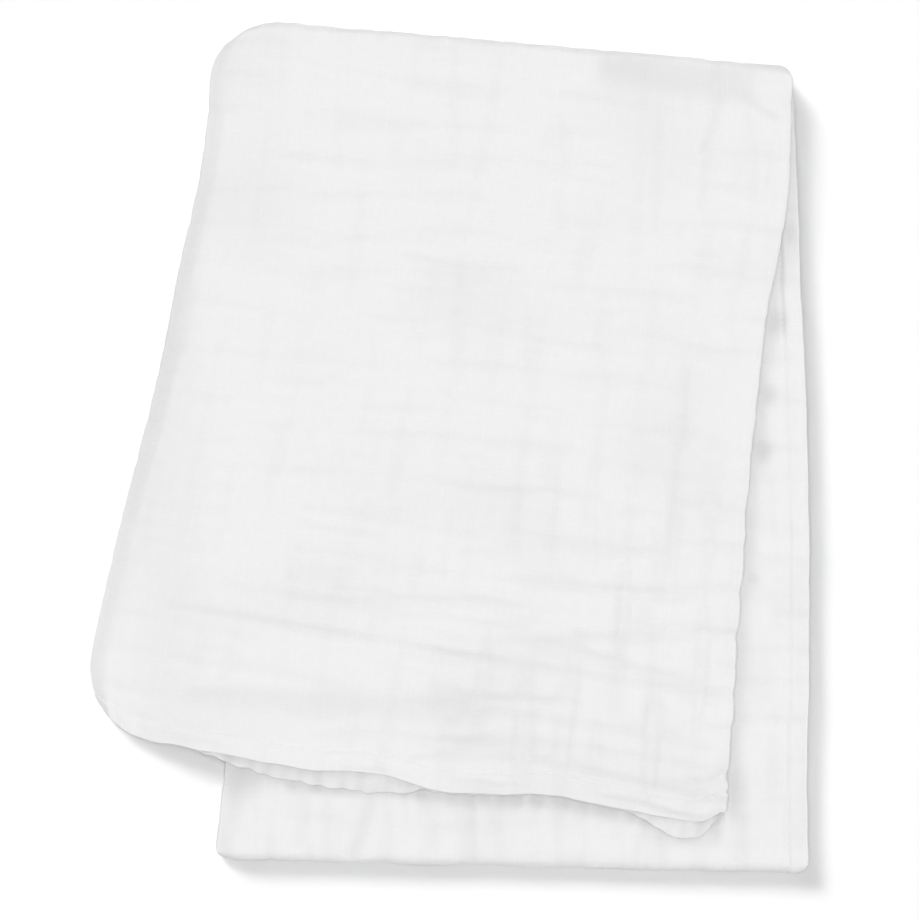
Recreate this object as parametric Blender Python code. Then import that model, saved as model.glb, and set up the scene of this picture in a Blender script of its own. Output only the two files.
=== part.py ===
"""Swaddle blanket of white double gauze, a 1.2 m square, folded for a shelf.

The square is first folded into quarters from side to side. That gives a strip of four plies: A1 on top,
then B1, B2 and A2, with A1 and A2 joined by an outer fold on the left, B1 and B2 by an inner fold inside
it, and A1 and B1 by the fold on the right. The strip is then folded into thirds: the front third lies on
the middle third, fanned out to the left, and the middle third lies on the back third.

The cloth is made flat, as a slab on a grid of its fold lines, and every point of it is then carried to its
place in the fold. Sizes are in metres, +Z is up, and the blanket lies on the plane z = 0.
"""

import math

import bmesh
import bpy
from mathutils import Vector

# Driving sizes of the cloth and its stack of plies.
CLOTH_THICK = 0.0010
PLY_PITCH = 0.0014
PLIES_IN_STRIP = 4

# Half of the strip's stack, to the middles of its outer and inner plies.
OUTER_HALF = 1.5 * PLY_PITCH
INNER_HALF = 0.5 * PLY_PITCH
FOLD_REACH = OUTER_HALF + CLOTH_THICK / 2
TURN_SLACK = 0.0003
TURN_RADIUS = PLIES_IN_STRIP / 2 * PLY_PITCH + TURN_SLACK
TURN_REACH = TURN_RADIUS + FOLD_REACH

# Heights of the middle of each third, and of the two turns between them.
BACK_Z = CLOTH_THICK / 2 + OUTER_HALF
MIDDLE_Z = BACK_Z + 2 * TURN_RADIUS
FRONT_Z = MIDDLE_Z + 2 * TURN_RADIUS
TOP_TURN_Z = (FRONT_Z + MIDDLE_Z) / 2
BOTTOM_TURN_Z = (MIDDLE_Z + BACK_Z) / 2

# Steps of the grid over each stretch of the strip's section, from A2's side hem round to B2's side hem.
SECTION = (
    ("a2", 18),
    ("outer fold", 6),
    ("a1", 18),
    ("right fold", 4),
    ("b1", 18),
    ("inner fold", 4),
    ("b2", 18),
)
# Steps of the grid over each stretch of the strip's run, from the front hem to the back hem.
RUN = (("front", 26), ("top turn", 8), ("middle", 14), ("bottom turn", 8), ("back", 8))

# Each ply is gridded more closely near its left end, where the front third sags: this share of the lines
# covers this share of its width.
RIGHTWARD = ("a1", "b2")
LEFTWARD = ("a2", "b1")
CLOSE_LINES = 0.72
CLOSE_WIDTH = 0.30
# The flat grid's level for the cloth's lower face. The upper face is at 0.
LOWER_FACE = -1

# The lines along a third crowd towards its two ends, where the corners are: 0 is an even row.
ENDS_CLOSER = 0.6

# The middle of the outline, in the measure of the stations below. It becomes the origin.
OUTLINE_MIDDLE = (-0.00029, 0.00027)

# Left and right edges of each third as seen from above, at stations along it. A third's first station is
# where it leaves its turn, and the front's and the back's last station is at the hem.
STATION_COLUMNS = ("along", "left_x", "left_y", "right_x", "right_y")
STATIONS = {
    "front": (
        (0.00, -0.1212, 0.2141, 0.1740, 0.1884),
        (0.15, -0.1243, 0.1610, 0.1718, 0.1335),
        (0.25, -0.1301, 0.1265, 0.1671, 0.0970),
        (0.35, -0.1384, 0.0905, 0.1600, 0.0600),
        (0.50, -0.1490, 0.0377, 0.1537, 0.0046),
        (0.75, -0.1718, -0.0518, 0.1468, -0.0894),
        (1.00, -0.1915, -0.1421, 0.1405, -0.1834),
    ),
    "middle": (
        (0.00, -0.1212, 0.2141, 0.1740, 0.1884),
        (0.25, -0.1150, 0.1112, 0.1779, 0.0910),
        (0.50, -0.1132, 0.0048, 0.1819, -0.0110),
        (0.75, -0.1135, -0.1018, 0.1826, -0.1131),
        (0.88, -0.1143, -0.1525, 0.1813, -0.1630),
        (1.00, -0.1196, -0.2030, 0.1820, -0.2097),
    ),
    "back": (
        (0.00, -0.1196, -0.2030, 0.1820, -0.2097),
        (0.30, -0.1080, -0.0820, 0.1770, -0.0900),
        (1.00, -0.0980, 0.1890, 0.1700, 0.1770),
    ),
}

# How far each ply's edge lies inside the strip's left or right edge, in each third.
INSET_COLUMNS = ("right_fold", "hem_a2", "hem_b2", "inner_fold")
INSETS = {
    "front": (0.0000, 0.0050, 0.0030, 0.0070),
    "middle": (0.0040, 0.0000, 0.0020, 0.0070),
    "back": (0.0030, 0.0010, 0.0040, 0.0070),
}

# How far the front hem bows past the line between its ends, and how much further ply B1 shows below it.
HEM_COLUMNS = ("across", "bow", "b1_shows")
FRONT_HEM = (
    (0.00, 0.0000, 0.0000),
    (0.12, 0.0020, 0.0000),
    (0.20, 0.0034, 0.0008),
    (0.28, 0.0048, 0.0058),
    (0.36, 0.0060, 0.0072),
    (0.43, 0.0046, 0.0090),
    (0.48, 0.0050, 0.0090),
    (0.55, 0.0084, 0.0010),
    (0.60, 0.0089, 0.0000),
    (0.65, 0.0072, 0.0000),
    (0.73, 0.0043, 0.0000),
    (0.80, 0.0055, 0.0000),
    (0.86, 0.0072, 0.0010),
    (0.90, 0.0078, 0.0072),
    (0.96, 0.0084, 0.0080),
    (1.00, 0.0000, 0.0000),
)
HEM_REACH = 0.060

# The wide, soft corners at the left ends of the top fold and of the front hem: how far each reaches across
# the strip and along it, and how far its tip is drawn in, as a share of that reach.
TOP_LEFT_CORNER = (0.0487, 0.0325)
FRONT_LEFT_CORNER = (0.0440, 0.0460)
CORNER_PULL = 0.22

# The front third sags off the middle third's left edge onto the surface: how far out it starts, over what
# distance, and how deep.
SAG_START = 0.004
SAG_WIDTH = 0.055
SAG_DEPTH = 4 * TURN_RADIUS

# Past its last station a third runs straight on, in the direction it has from here.
NEAR_END = 0.9

# An edge sharper than this is shaded as an edge.
SHARP_FROM = math.radians(50)
CLOTH_COLOUR = (0.86, 0.86, 0.855, 1.0)
CLOTH_ROUGHNESS = 0.9


def smoothstep(value):
    value = min(max(value, 0.0), 1.0)
    return value * value * (3 - 2 * value)


def through_rows(rows, position, column):
    """Value of one column at a position in the first, on a smooth curve through the rows."""
    upper = 1
    while upper < len(rows) - 1 and rows[upper][0] < position:
        upper += 1
    slopes = []
    for index in (upper - 1, upper):
        before, after = max(index - 1, 0), min(index + 1, len(rows) - 1)
        rise = rows[after][column] - rows[before][column]
        slopes.append(rise / (rows[after][0] - rows[before][0]))
    start, end = rows[upper - 1], rows[upper]
    span = end[0] - start[0]
    part = (position - start[0]) / span
    rest = 1 - part
    return (
        start[column] * rest * rest * (1 + 2 * part)
        + end[column] * part * part * (1 + 2 * rest)
        + slopes[0] * span * part * rest * rest
        - slopes[1] * span * rest * part * part
    )


def edges_at(third, along):
    """Left and right edge of a third, as seen from above."""
    rows = STATIONS[third]
    left_x, left_y, right_x, right_y = (
        through_rows(rows, along, STATION_COLUMNS.index(name)) for name in STATION_COLUMNS[1:]
    )
    return Vector((left_x, left_y)), Vector((right_x, right_y))


def third_length(third):
    """Length of a third between its first and last station, along its middle."""
    rows = STATIONS[third]
    ends = [Vector((row[1] + row[3], row[2] + row[4])) / 2 for row in (rows[0], rows[-1])]
    return (ends[1] - ends[0]).length


LENGTHS = {third: third_length(third) for third in STATIONS}


def inset(third, name):
    return INSETS[third][INSET_COLUMNS.index(name)]


def inset_at(stretch, share, name):
    """Inset of one ply edge at a point of the run. It changes over from third to third within the turns."""
    if stretch in INSETS:
        return inset(stretch, name)
    before, after = ("front", "middle") if stretch == "top turn" else ("middle", "back")
    blend = smoothstep(share)
    return inset(before, name) * (1 - blend) + inset(after, name) * blend


def section_point(ply, share, width, edge, offset):
    """(across, height) of a point of the strip's section.

    across is from the strip's left edge, height from the middle of its stack, edge(name) gives an inset, and
    offset is the distance from the middle of the cloth towards the face that is up in A1.
    """
    outer_x = FOLD_REACH
    inner_x = edge("inner_fold") + INNER_HALF
    right_x = width - edge("right_fold") - INNER_HALF - CLOTH_THICK / 2
    turn = math.pi * share
    if ply == "a2":
        start = width - edge("hem_a2")
        return start + (outer_x - start) * share, -OUTER_HALF - offset
    if ply == "outer fold":
        radius = OUTER_HALF + offset
        return outer_x - radius * math.sin(turn), -radius * math.cos(turn)
    if ply == "a1":
        return outer_x + (right_x - outer_x) * share, OUTER_HALF + offset
    if ply == "right fold":
        radius = INNER_HALF + offset
        return right_x + radius * math.sin(turn), 2 * INNER_HALF + radius * math.cos(turn)
    if ply == "b1":
        return right_x + (inner_x - right_x) * share, INNER_HALF - offset
    if ply == "inner fold":
        radius = INNER_HALF - offset
        return inner_x - radius * math.sin(turn), radius * math.cos(turn)
    end = width - edge("hem_b2")
    return inner_x + (end - inner_x) * share, offset - INNER_HALF


def round_corner(across, beyond, reaches):
    """Draws a square corner in. Both distances are from the corner's two edges, inwards."""
    side, end = 1 - across / reaches[0], 1 - beyond / reaches[1]
    if side <= 0 or end <= 0:
        return across, beyond
    return (
        reaches[0] * (1 - side * (1 - CORNER_PULL * end**2)),
        reaches[1] * (1 - end * (1 - CORNER_PULL * side**2)),
    )


def hem_shift(ply, across_share):
    """How far the front hem's edge is moved outwards, at a point of one ply."""
    shift = through_rows(FRONT_HEM, across_share, HEM_COLUMNS.index("bow"))
    if ply in ("b1", "right fold"):
        shift += through_rows(FRONT_HEM, across_share, HEM_COLUMNS.index("b1_shows"))
    return shift


def plan_point(third, across, width, beyond):
    """Point seen from above, from its distance across the strip and from the edge of its third's turn."""
    length = LENGTHS[third]
    past_turn = beyond - TURN_REACH
    left, right = edges_at(third, min(max(past_turn / length, 0.0), 1.0))
    point = left + (right - left) * (across / width)
    if past_turn < 0:
        normal = Vector((left.y - right.y, right.x - left.x)).normalized()
        outward = 1 if left.y > 0 else -1
        return point - normal * past_turn * outward
    overshoot = past_turn - length
    if overshoot > 0:
        first_left, first_right = edges_at(third, NEAR_END)
        heading = ((left + right) - (first_left + first_right)).normalized()
        point += heading * overshoot
    return point


def middle_left_edge(y):
    """The middle third's left edge at a height in the plan, for the sag of the front third."""
    rows = [(-row[2], row[1]) for row in STATIONS["middle"]]
    return through_rows(rows, min(max(-y, rows[0][0]), rows[-1][0]), 1)


def folded_point(ply, ply_share, stretch, stretch_share, offset):
    """Place in the folded blanket of a point of the cloth."""
    third = {"top turn": "middle", "bottom turn": "back"}.get(stretch, stretch)
    in_turn = stretch.endswith("turn")
    along = 0.0 if in_turn else stretch_share
    if stretch == "front":
        along = 1 - stretch_share
    left, right = edges_at(third, along)
    width = (right - left).length

    def edge(name):
        return inset_at(stretch, stretch_share, name)

    across, height = section_point(ply, ply_share, width, edge, offset)
    beyond = TURN_REACH + along * LENGTHS[third]
    if stretch == "front":
        z = FRONT_Z + height
        to_hem = (1 - along) * LENGTHS["front"]
        from_edge, to_hem = round_corner(across, to_hem, FRONT_LEFT_CORNER)
        shift = hem_shift(ply, min(max(across / width, 0.0), 1.0))
        shift *= smoothstep(1 - to_hem / HEM_REACH)
        across = from_edge
        beyond = TURN_REACH + LENGTHS["front"] - to_hem + shift
    elif stretch == "middle":
        z = MIDDLE_Z - height
    elif stretch == "back":
        z = BACK_Z + height
    else:
        turn = math.pi * stretch_share
        top = stretch == "top turn"
        radius = TURN_RADIUS + (height if top else -height)
        z = (TOP_TURN_Z if top else BOTTOM_TURN_Z) + radius * math.cos(turn)
        beyond = TURN_REACH - radius * math.sin(turn)
    if stretch in ("front", "top turn", "middle"):
        across, beyond = round_corner(across, beyond, TOP_LEFT_CORNER)
    place = plan_point(third, across, width, beyond)
    if stretch == "top turn":
        from_front = plan_point("front", across, width, beyond)
        place = from_front.lerp(place, stretch_share)
    if stretch == "front":
        past_edge = middle_left_edge(place.y) - place.x - SAG_START
        z -= SAG_DEPTH * smoothstep(past_edge / SAG_WIDTH)
    return Vector((place.x - OUTLINE_MIDDLE[0], place.y - OUTLINE_MIDDLE[1], z))


def from_left(share):
    """Place of a grid line from a ply's left end, from its place in an even row of lines."""
    if share < CLOSE_LINES:
        return share / CLOSE_LINES * CLOSE_WIDTH
    return CLOSE_WIDTH + (share - CLOSE_LINES) / (1 - CLOSE_LINES) * (1 - CLOSE_WIDTH)


def spaced_share(name, share):
    """Place of a grid line along its stretch, from its place in an even row of them."""
    if name in RIGHTWARD:
        return from_left(share)
    if name in LEFTWARD:
        return 1 - from_left(1 - share)
    if name in STATIONS:
        crowded = 0.5 - 0.5 * math.cos(math.pi * share)
        return share + (crowded - share) * ENDS_CLOSER
    return share


def grid_lines(stretches):
    """The grid's lines as (stretch, share along it)."""
    lines = []
    for name, steps in stretches:
        first = 1 if lines else 0
        lines += [(name, spaced_share(name, step / steps)) for step in range(first, steps + 1)]
    return lines


def make_cloth():
    """The sheet as a flat slab on the grid of its fold lines, folded point by point."""
    section_lines = grid_lines(SECTION)
    run_lines = grid_lines(RUN)
    columns, rows = len(section_lines) - 1, len(run_lines) - 1
    sheet = bmesh.new()
    bmesh.ops.create_grid(sheet, x_segments=columns, y_segments=rows, size=0.5)
    for vertex in sheet.verts:
        vertex.co = ((vertex.co.x + 0.5) * columns, (vertex.co.y + 0.5) * rows, 0)
    lower = bmesh.ops.duplicate(sheet, geom=sheet.verts[:] + sheet.edges[:] + sheet.faces[:])
    for vertex in (item for item in lower["geom"] if isinstance(item, bmesh.types.BMVert)):
        vertex.co.z = LOWER_FACE
    lower_faces = [item for item in lower["geom"] if isinstance(item, bmesh.types.BMFace)]
    bmesh.ops.reverse_faces(sheet, faces=lower_faces)
    rims = [edge for edge in sheet.edges if edge.is_boundary]
    bmesh.ops.bridge_loops(sheet, edges=rims)
    bmesh.ops.recalc_face_normals(sheet, faces=sheet.faces)
    for vertex in sheet.verts:
        ply, ply_share = section_lines[round(vertex.co.x)]
        stretch, stretch_share = run_lines[round(vertex.co.y)]
        offset = CLOTH_THICK / 2 * (-1 if vertex.co.z < LOWER_FACE / 2 else 1)
        vertex.co = folded_point(ply, ply_share, stretch, stretch_share, offset)
    mesh = bpy.data.meshes.new("blanket")
    sheet.to_mesh(mesh)
    sheet.free()
    return mesh


def cloth_material():
    material = bpy.data.materials.new("white_double_gauze")
    material.use_nodes = True
    surface = material.node_tree.nodes["Principled BSDF"]
    surface.inputs["Base Color"].default_value = CLOTH_COLOUR
    surface.inputs["Roughness"].default_value = CLOTH_ROUGHNESS
    surface.inputs["Metallic"].default_value = 0.0
    return material


def main():
    for item in list(bpy.data.objects):
        bpy.data.objects.remove(item)
    collection = bpy.data.collections.new("swaddle_blanket")
    bpy.context.scene.collection.children.link(collection)
    mesh = make_cloth()
    mesh.materials.append(cloth_material())
    mesh.shade_smooth()
    mesh.set_sharp_from_angle(angle=SHARP_FROM)
    collection.objects.link(bpy.data.objects.new("blanket", mesh))


main()
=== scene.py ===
"""Looks of the folded swaddle blanket: one sheet of white double gauze, its hem stitches, and the studio."""

import math

import bmesh
import bpy
import numpy as np
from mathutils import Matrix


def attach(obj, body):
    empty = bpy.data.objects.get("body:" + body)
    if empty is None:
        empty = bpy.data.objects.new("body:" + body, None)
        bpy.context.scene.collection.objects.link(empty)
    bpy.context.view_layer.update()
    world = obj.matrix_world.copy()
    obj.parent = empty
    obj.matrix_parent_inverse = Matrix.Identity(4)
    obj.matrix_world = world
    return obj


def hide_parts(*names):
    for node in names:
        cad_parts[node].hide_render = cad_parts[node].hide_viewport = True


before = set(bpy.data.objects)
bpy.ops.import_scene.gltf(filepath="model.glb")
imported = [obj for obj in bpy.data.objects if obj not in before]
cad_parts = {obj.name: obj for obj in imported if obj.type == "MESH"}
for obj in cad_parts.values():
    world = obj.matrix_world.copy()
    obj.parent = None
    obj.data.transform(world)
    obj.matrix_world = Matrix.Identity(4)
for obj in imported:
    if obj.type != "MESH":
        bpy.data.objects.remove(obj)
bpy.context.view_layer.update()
SEED = 7

# ---------------------------------------------------------------- the cloth's sizes, in metres
CLOTH_THICK = 0.0010
PLY_PITCH = 0.0014
# The strip has four plies. Its outer two and its inner two lie this far from its middle.
OUTER_HALF = 1.5 * PLY_PITCH
INNER_HALF = 0.5 * PLY_PITCH
FOLD_REACH = OUTER_HALF + CLOTH_THICK / 2
# The strip's middle turns on this radius from each third to the next.
TURN_SLACK = 0.0003
TURN_RADIUS = 2 * PLY_PITCH + TURN_SLACK
TURN_REACH = TURN_RADIUS + FOLD_REACH
# Height of the strip's middle in each third, and of the top plies.
BACK_Z = CLOTH_THICK / 2 + OUTER_HALF
MIDDLE_Z = BACK_Z + 2 * TURN_RADIUS
FRONT_Z = MIDDLE_Z + 2 * TURN_RADIUS
FRONT_TOP = FRONT_Z + OUTER_HALF
MIDDLE_TOP = MIDDLE_Z + OUTER_HALF

# Stretches of the cloth along the strip's section and along its run, with their flat lengths. The front
# third shows ply a1 and the middle third a2, with b1 and b2 between them.
SECTION = (
    ("a2", 0.2940),
    ("outer fold", 0.0066),
    ("a1", 0.2962),
    ("right fold", 0.0022),
    ("b1", 0.2905),
    ("inner fold", 0.0022),
    ("b2", 0.2900),
)
RUN = (
    ("front", 0.3700),
    ("top turn", 0.0110),
    ("middle", 0.4100),
    ("bottom turn", 0.0110),
    ("back", 0.3850),
)
WIDTH = sum(length for _, length in SECTION)
LENGTH = sum(length for _, length in RUN)
# Cloth turned under at every edge, and the radius of its turn.
HEM = 0.0115
HEM_TURN = 0.00032
# The modelled surface is a little outside the middle of the cloth.
LIFT = 0.0003

# ---------------------------------------------------------------- where the thirds lie, as in the solid
# The stations are in their own measure. The middle of the blanket's outline is here in it.
OUTLINE_MIDDLE = (-0.00029, 0.00027)
STATION_COLUMNS = ("along", "left_x", "left_y", "right_x", "right_y")
STATIONS = {
    "front": (
        (0.00, -0.1212, 0.2141, 0.1740, 0.1884),
        (0.15, -0.1243, 0.1610, 0.1718, 0.1335),
        (0.25, -0.1301, 0.1265, 0.1671, 0.0970),
        (0.35, -0.1384, 0.0905, 0.1600, 0.0600),
        (0.50, -0.1490, 0.0377, 0.1537, 0.0046),
        (0.75, -0.1718, -0.0518, 0.1468, -0.0894),
        (1.00, -0.1915, -0.1421, 0.1405, -0.1834),
    ),
    "middle": (
        (0.00, -0.1212, 0.2141, 0.1740, 0.1884),
        (0.25, -0.1150, 0.1112, 0.1779, 0.0910),
        (0.50, -0.1132, 0.0048, 0.1819, -0.0110),
        (0.75, -0.1135, -0.1018, 0.1826, -0.1131),
        (0.88, -0.1143, -0.1525, 0.1813, -0.1630),
        (1.00, -0.1196, -0.2030, 0.1820, -0.2097),
    ),
    "back": (
        (0.00, -0.1196, -0.2030, 0.1820, -0.2097),
        (0.30, -0.1080, -0.0820, 0.1770, -0.0900),
        (1.00, -0.0980, 0.1890, 0.1700, 0.1770),
    ),
}
# How far each ply's edge stays back from the strip's edge.
INSET_COLUMNS = ("right_fold", "hem_a2", "hem_b2", "inner_fold")
INSETS = {
    "front": (0.0000, 0.0050, 0.0030, 0.0070),
    "middle": (0.0040, 0.0000, 0.0020, 0.0070),
    "back": (0.0030, 0.0010, 0.0040, 0.0070),
}
# The plies that show under the front hem.
UNDER_HEM = ("b1", "right fold")
# The front hem's bow past a straight line, and how much of the ply under it shows.
HEM_COLUMNS = ("across", "bow", "b1_shows")
FRONT_HEM = (
    (0.00, 0.0000, 0.0000),
    (0.12, 0.0020, 0.0000),
    (0.20, 0.0034, 0.0008),
    (0.28, 0.0048, 0.0058),
    (0.36, 0.0060, 0.0072),
    (0.43, 0.0046, 0.0090),
    (0.48, 0.0050, 0.0090),
    (0.55, 0.0084, 0.0010),
    (0.60, 0.0089, 0.0000),
    (0.65, 0.0072, 0.0000),
    (0.73, 0.0043, 0.0000),
    (0.80, 0.0055, 0.0000),
    (0.86, 0.0072, 0.0010),
    (0.90, 0.0078, 0.0072),
    (0.96, 0.0084, 0.0080),
    (1.00, 0.0000, 0.0000),
)
HEM_REACH = 0.060
# A third's heading past its end is taken from here, as a share of its length.
NEAR_END = 0.9
# Wide soft corners: how far each reaches across the strip and along it.
TOP_LEFT_CORNER = (0.0375, 0.0350)
FRONT_LEFT_CORNER = (0.0375, 0.0400)
# Left of the middle third the front third has nothing under it, and sags.
SAG_START = 0.004
SAG_WIDTH = 0.055
SAG_DEPTH = 4 * TURN_RADIUS
# Outside the inner fold the strip has only two plies, so it thins towards its left edge: by what share of
# its height, and over what distance.
SHOULDER = 0.85
SHOULDER_REACH = 0.0105
# Small soft corners at the right end of the top fold and at both ends of the bottom fold.
TOP_RIGHT_CORNER = (0.0075, 0.0075)
BOTTOM_CORNER = (0.0065, 0.0065)
# Small waves in the edges, with their lengths, and how far the bottom fold stands out.
EDGE_WANDER = 0.0008
SIDE_WAVE = 0.016
HEM_WAVE = 0.019
UNDER_HEM_WAVE = 0.0065
BOTTOM_WAVE = 0.030
BOTTOM_OUT = 0.0012


# ---------------------------------------------------------------- numbers and noise over arrays of points
NOISE_CELLS = 64
NOISE_GAIN = 1.6


def smoothstep(value):
    """An eased step from 0 to 1, as the value goes from 0 to 1."""
    value = np.clip(value, 0.0, 1.0)
    return value * value * (3 - 2 * value)


def bump(distance, width):
    """A soft ridge: one at no distance, gone by about twice its width."""
    return np.exp(-((distance / width) ** 2))


def through_rows(rows, position, column):
    """Values of one column at positions in the first, on a smooth curve through the rows."""
    table = np.array(rows)
    places, values = table[:, 0], table[:, column]
    before = np.maximum(np.arange(len(places)) - 1, 0)
    after = np.minimum(np.arange(len(places)) + 1, len(places) - 1)
    slopes = (values[after] - values[before]) / (places[after] - places[before])
    upper = np.clip(np.searchsorted(places, position), 1, len(places) - 1)
    lower = upper - 1
    span = places[upper] - places[lower]
    part = np.clip((position - places[lower]) / span, 0, 1)
    rest = 1 - part
    return (
        values[lower] * rest * rest * (1 + 2 * part)
        + values[upper] * part * part * (1 + 2 * rest)
        + slopes[lower] * span * part * rest * rest
        - slopes[upper] * span * rest * part * part
    )


def noise(x, y, seed):
    """Smooth gradient noise of about -1 to 1, one cell to a unit."""
    angles = np.random.default_rng(seed).uniform(0, 2 * math.pi, (NOISE_CELLS, NOISE_CELLS))
    cell_x, cell_y = np.floor(x).astype(int), np.floor(y).astype(int)
    part_x, part_y = x - cell_x, y - cell_y

    def corner(step_x, step_y):
        angle = angles[(cell_x + step_x) % NOISE_CELLS, (cell_y + step_y) % NOISE_CELLS]
        return np.cos(angle) * (part_x - step_x) + np.sin(angle) * (part_y - step_y)

    ease_x, ease_y = (part**3 * (part * (part * 6 - 15) + 10) for part in (part_x, part_y))
    low = corner(0, 0) * (1 - ease_x) + corner(1, 0) * ease_x
    high = corner(0, 1) * (1 - ease_x) + corner(1, 1) * ease_x
    return NOISE_GAIN * (low * (1 - ease_y) + high * ease_y)


# ---------------------------------------------------------------- the fold
def edges_at(third, along):
    """Left and right edge of a third, as seen from above."""
    return [through_rows(STATIONS[third], along, column) for column in range(1, len(STATION_COLUMNS))]


def third_length(third):
    """Length of a third, along the middle of the strip."""
    _, *first = STATIONS[third][0]
    _, *last = STATIONS[third][-1]
    run_x = (first[0] + first[2] - last[0] - last[2]) / 2
    run_y = (first[1] + first[3] - last[1] - last[3]) / 2
    return math.hypot(run_x, run_y)


LENGTHS = {third: third_length(third) for third in STATIONS}


def inset_at(stretch, share, name):
    """Inset of one ply edge at a point of the run. It changes over from third to third within the turns."""
    column = INSET_COLUMNS.index(name)
    if stretch in INSETS:
        return np.full_like(share, INSETS[stretch][column])
    before, after = ("front", "middle") if stretch == "top turn" else ("middle", "back")
    blend = smoothstep(share)
    return INSETS[before][column] * (1 - blend) + INSETS[after][column] * blend


def section_point(ply, share, width, edge, offset):
    """(across, height) of points of the strip's section, as the solid has them."""
    inner_x = edge("inner_fold") + INNER_HALF
    right_x = width - edge("right_fold") - INNER_HALF - CLOTH_THICK / 2
    turn = math.pi * share
    if ply == "a2":
        start = width - edge("hem_a2")
        return start + (FOLD_REACH - start) * share, -OUTER_HALF - offset
    if ply == "outer fold":
        radius = OUTER_HALF + offset
        return FOLD_REACH - radius * np.sin(turn), -radius * np.cos(turn)
    if ply == "a1":
        return FOLD_REACH + (right_x - FOLD_REACH) * share, OUTER_HALF + offset
    if ply == "right fold":
        radius = INNER_HALF + offset
        return right_x + radius * np.sin(turn), 2 * INNER_HALF + radius * np.cos(turn)
    if ply == "b1":
        return right_x + (inner_x - right_x) * share, INNER_HALF - offset
    if ply == "inner fold":
        radius = INNER_HALF - offset
        return inner_x - radius * np.sin(turn), radius * np.cos(turn)
    end = width - edge("hem_b2")
    return inner_x + (end - inner_x) * share, offset - INNER_HALF


def round_corner(across, beyond, reaches):
    """Draws a square corner in to a quarter of an ellipse. Distances are inwards from its two edges."""
    side, end = 1 - across / reaches[0], 1 - beyond / reaches[1]
    inside = (side > 0) & (end > 0)
    drawn_side = side * np.sqrt(1 - np.clip(end, 0, 1) ** 2 / 2)
    drawn_end = end * np.sqrt(1 - np.clip(side, 0, 1) ** 2 / 2)
    return (
        np.where(inside, reaches[0] * (1 - drawn_side), across),
        np.where(inside, reaches[1] * (1 - drawn_end), beyond),
    )


def settled(stretch, share, across, height):
    """Heights in the stack, with the plies near the left edge sunk onto the lowest of them."""
    turned = smoothstep(share) * 2 - 1
    lowest = {"top turn": turned, "middle": 1, "bottom turn": -turned}.get(stretch, -1) * OUTER_HALF
    thinned = SHOULDER * (1 - smoothstep(across / SHOULDER_REACH))
    return lowest + (height - lowest) * (1 - thinned)


def plan_point(third, across, width, beyond):
    """Points seen from above, from the distance across the strip and that from their third's turned edge."""
    length = LENGTHS[third]
    past_turn = beyond - TURN_REACH
    left_x, left_y, right_x, right_y = edges_at(third, np.clip(past_turn / length, 0, 1))
    share = across / width
    x = left_x + (right_x - left_x) * share
    y = left_y + (right_y - left_y) * share
    run_x, run_y = right_x - left_x, right_y - left_y
    reach = np.hypot(run_x, run_y)
    outward = np.where(left_y > 0, 1, -1) * np.maximum(-past_turn, 0)
    x, y = x - run_y / reach * outward, y + run_x / reach * outward
    overshoot = np.maximum(past_turn - length, 0)
    near = edges_at(third, np.full_like(across, NEAR_END))
    heading_x = left_x + right_x - near[0] - near[2]
    heading_y = left_y + right_y - near[1] - near[3]
    heading = np.maximum(np.hypot(heading_x, heading_y), 1e-9)
    return x + heading_x / heading * overshoot, y + heading_y / heading * overshoot


def bottom_corners(stretch, across, beyond, width):
    """Draws in both corners of the fold between the middle and the back third."""
    span = 2 * TURN_REACH + LENGTHS["middle"]
    to_bottom = span - beyond if stretch == "middle" else beyond
    across, to_bottom = round_corner(across, to_bottom, BOTTOM_CORNER)
    to_right, to_bottom = round_corner(width - across, to_bottom, BOTTOM_CORNER)
    wander = BOTTOM_OUT + EDGE_WANDER * noise(across / BOTTOM_WAVE, 0.0, SEED + 21)
    to_bottom = to_bottom - wander * smoothstep(1.5 - to_bottom / TURN_REACH)
    return width - to_right, span - to_bottom if stretch == "middle" else to_bottom


def edge_wander(stretch, across_share, beyond):
    """Small wavering of the right edge of each third."""
    size = EDGE_WANDER if stretch == "front" else EDGE_WANDER / 2
    near = smoothstep((across_share - 0.93) / 0.06)
    return size * near * noise(beyond / SIDE_WAVE, 0.4, SEED + 22)


def hem_line(across_share, name):
    """One column of the front hem's table, at shares of the way across the strip."""
    return through_rows(FRONT_HEM, across_share, HEM_COLUMNS.index(name))


def hem_wander(ply, across):
    """Small wavering of the front hem, a different one for the ply under it."""
    if ply in UNDER_HEM:
        return 2 * EDGE_WANDER * noise(across / UNDER_HEM_WAVE, 0.3, SEED + 24)
    return EDGE_WANDER * noise(across / HEM_WAVE, 0.3, SEED + 23)


def middle_left_edge(y):
    """Where the middle third's left edge is, at each y."""
    rows = [(-row[2], row[1]) for row in STATIONS["middle"]]
    return through_rows(rows, -y, 1)


def front_hem(ply, across, width, to_hem):
    """(across, distance to the hem) with the front's corner drawn in, and how far its hem stands out."""
    across_share = np.clip(across / width, 0, 1)
    shift = hem_line(across_share, "bow") + hem_wander(ply, across)
    if ply in UNDER_HEM:
        shift = shift + hem_line(across_share, "b1_shows")
    across, to_hem = round_corner(across, to_hem, FRONT_LEFT_CORNER)
    return across, to_hem, shift * smoothstep(1 - to_hem / HEM_REACH)


def top_corners(across, beyond, width):
    """Draws in both corners of the fold between the front and the middle third."""
    across, beyond = round_corner(across, beyond, TOP_LEFT_CORNER)
    to_right, beyond = round_corner(width - across, beyond, TOP_RIGHT_CORNER)
    return width - to_right, beyond


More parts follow.
